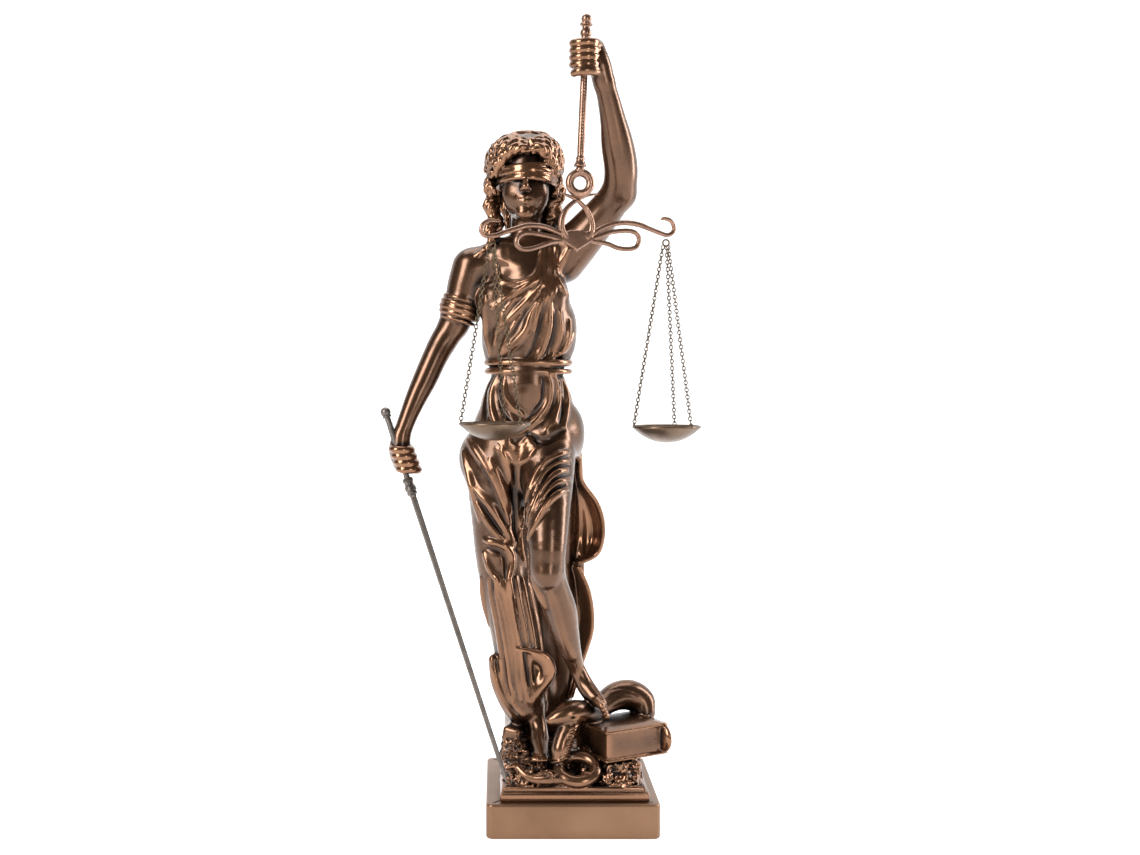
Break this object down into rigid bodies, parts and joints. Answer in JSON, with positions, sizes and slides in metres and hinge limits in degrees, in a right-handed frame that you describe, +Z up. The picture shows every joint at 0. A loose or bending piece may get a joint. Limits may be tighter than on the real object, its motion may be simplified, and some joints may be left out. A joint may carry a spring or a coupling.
{
  "type": "lady justice statue",
  "caption": "Standing blindfolded woman in draped dress on a square plinth, one arm raised with balance scales, a long sword held point down, a foot on a serpent and a book.",
  "frame": {"origin": "centre of the plinth's underside", "axes": "+Z up, -Y towards the front of the figure, +X to the viewer's right"},
  "size_m": [0.185, 0.1406, 0.4615],
  "materials": {
    "bronze": "polished dark bronze patina with worn, lighter high spots",
    "satin_bronze": "satin copper-brown",
    "copper": "satin rose-brown copper",
    "antique_bronze": "brushed antique bronze",
    "dark_steel": "dark, with bright worn edges",
    "dark_brass": "antiqued"
  },
  "bodies": {
    "root": {"plinth": "satin_bronze", "figure": "bronze", "sword": "dark_steel", "scale_rod": "copper", "scale_beam": "copper", "pan_left": "antique_bronze", "pan_right": "antique_bronze", "jump_ring_left": "dark_brass", "jump_ring_right": "dark_brass", "chain_left_1": "dark_brass", "chain_left_2": "dark_brass", "chain_left_3": "dark_brass", "chain_right_1": "dark_brass", "chain_right_2": "dark_brass", "chain_right_3": "dark_brass"}
  },
  "joints": []
}
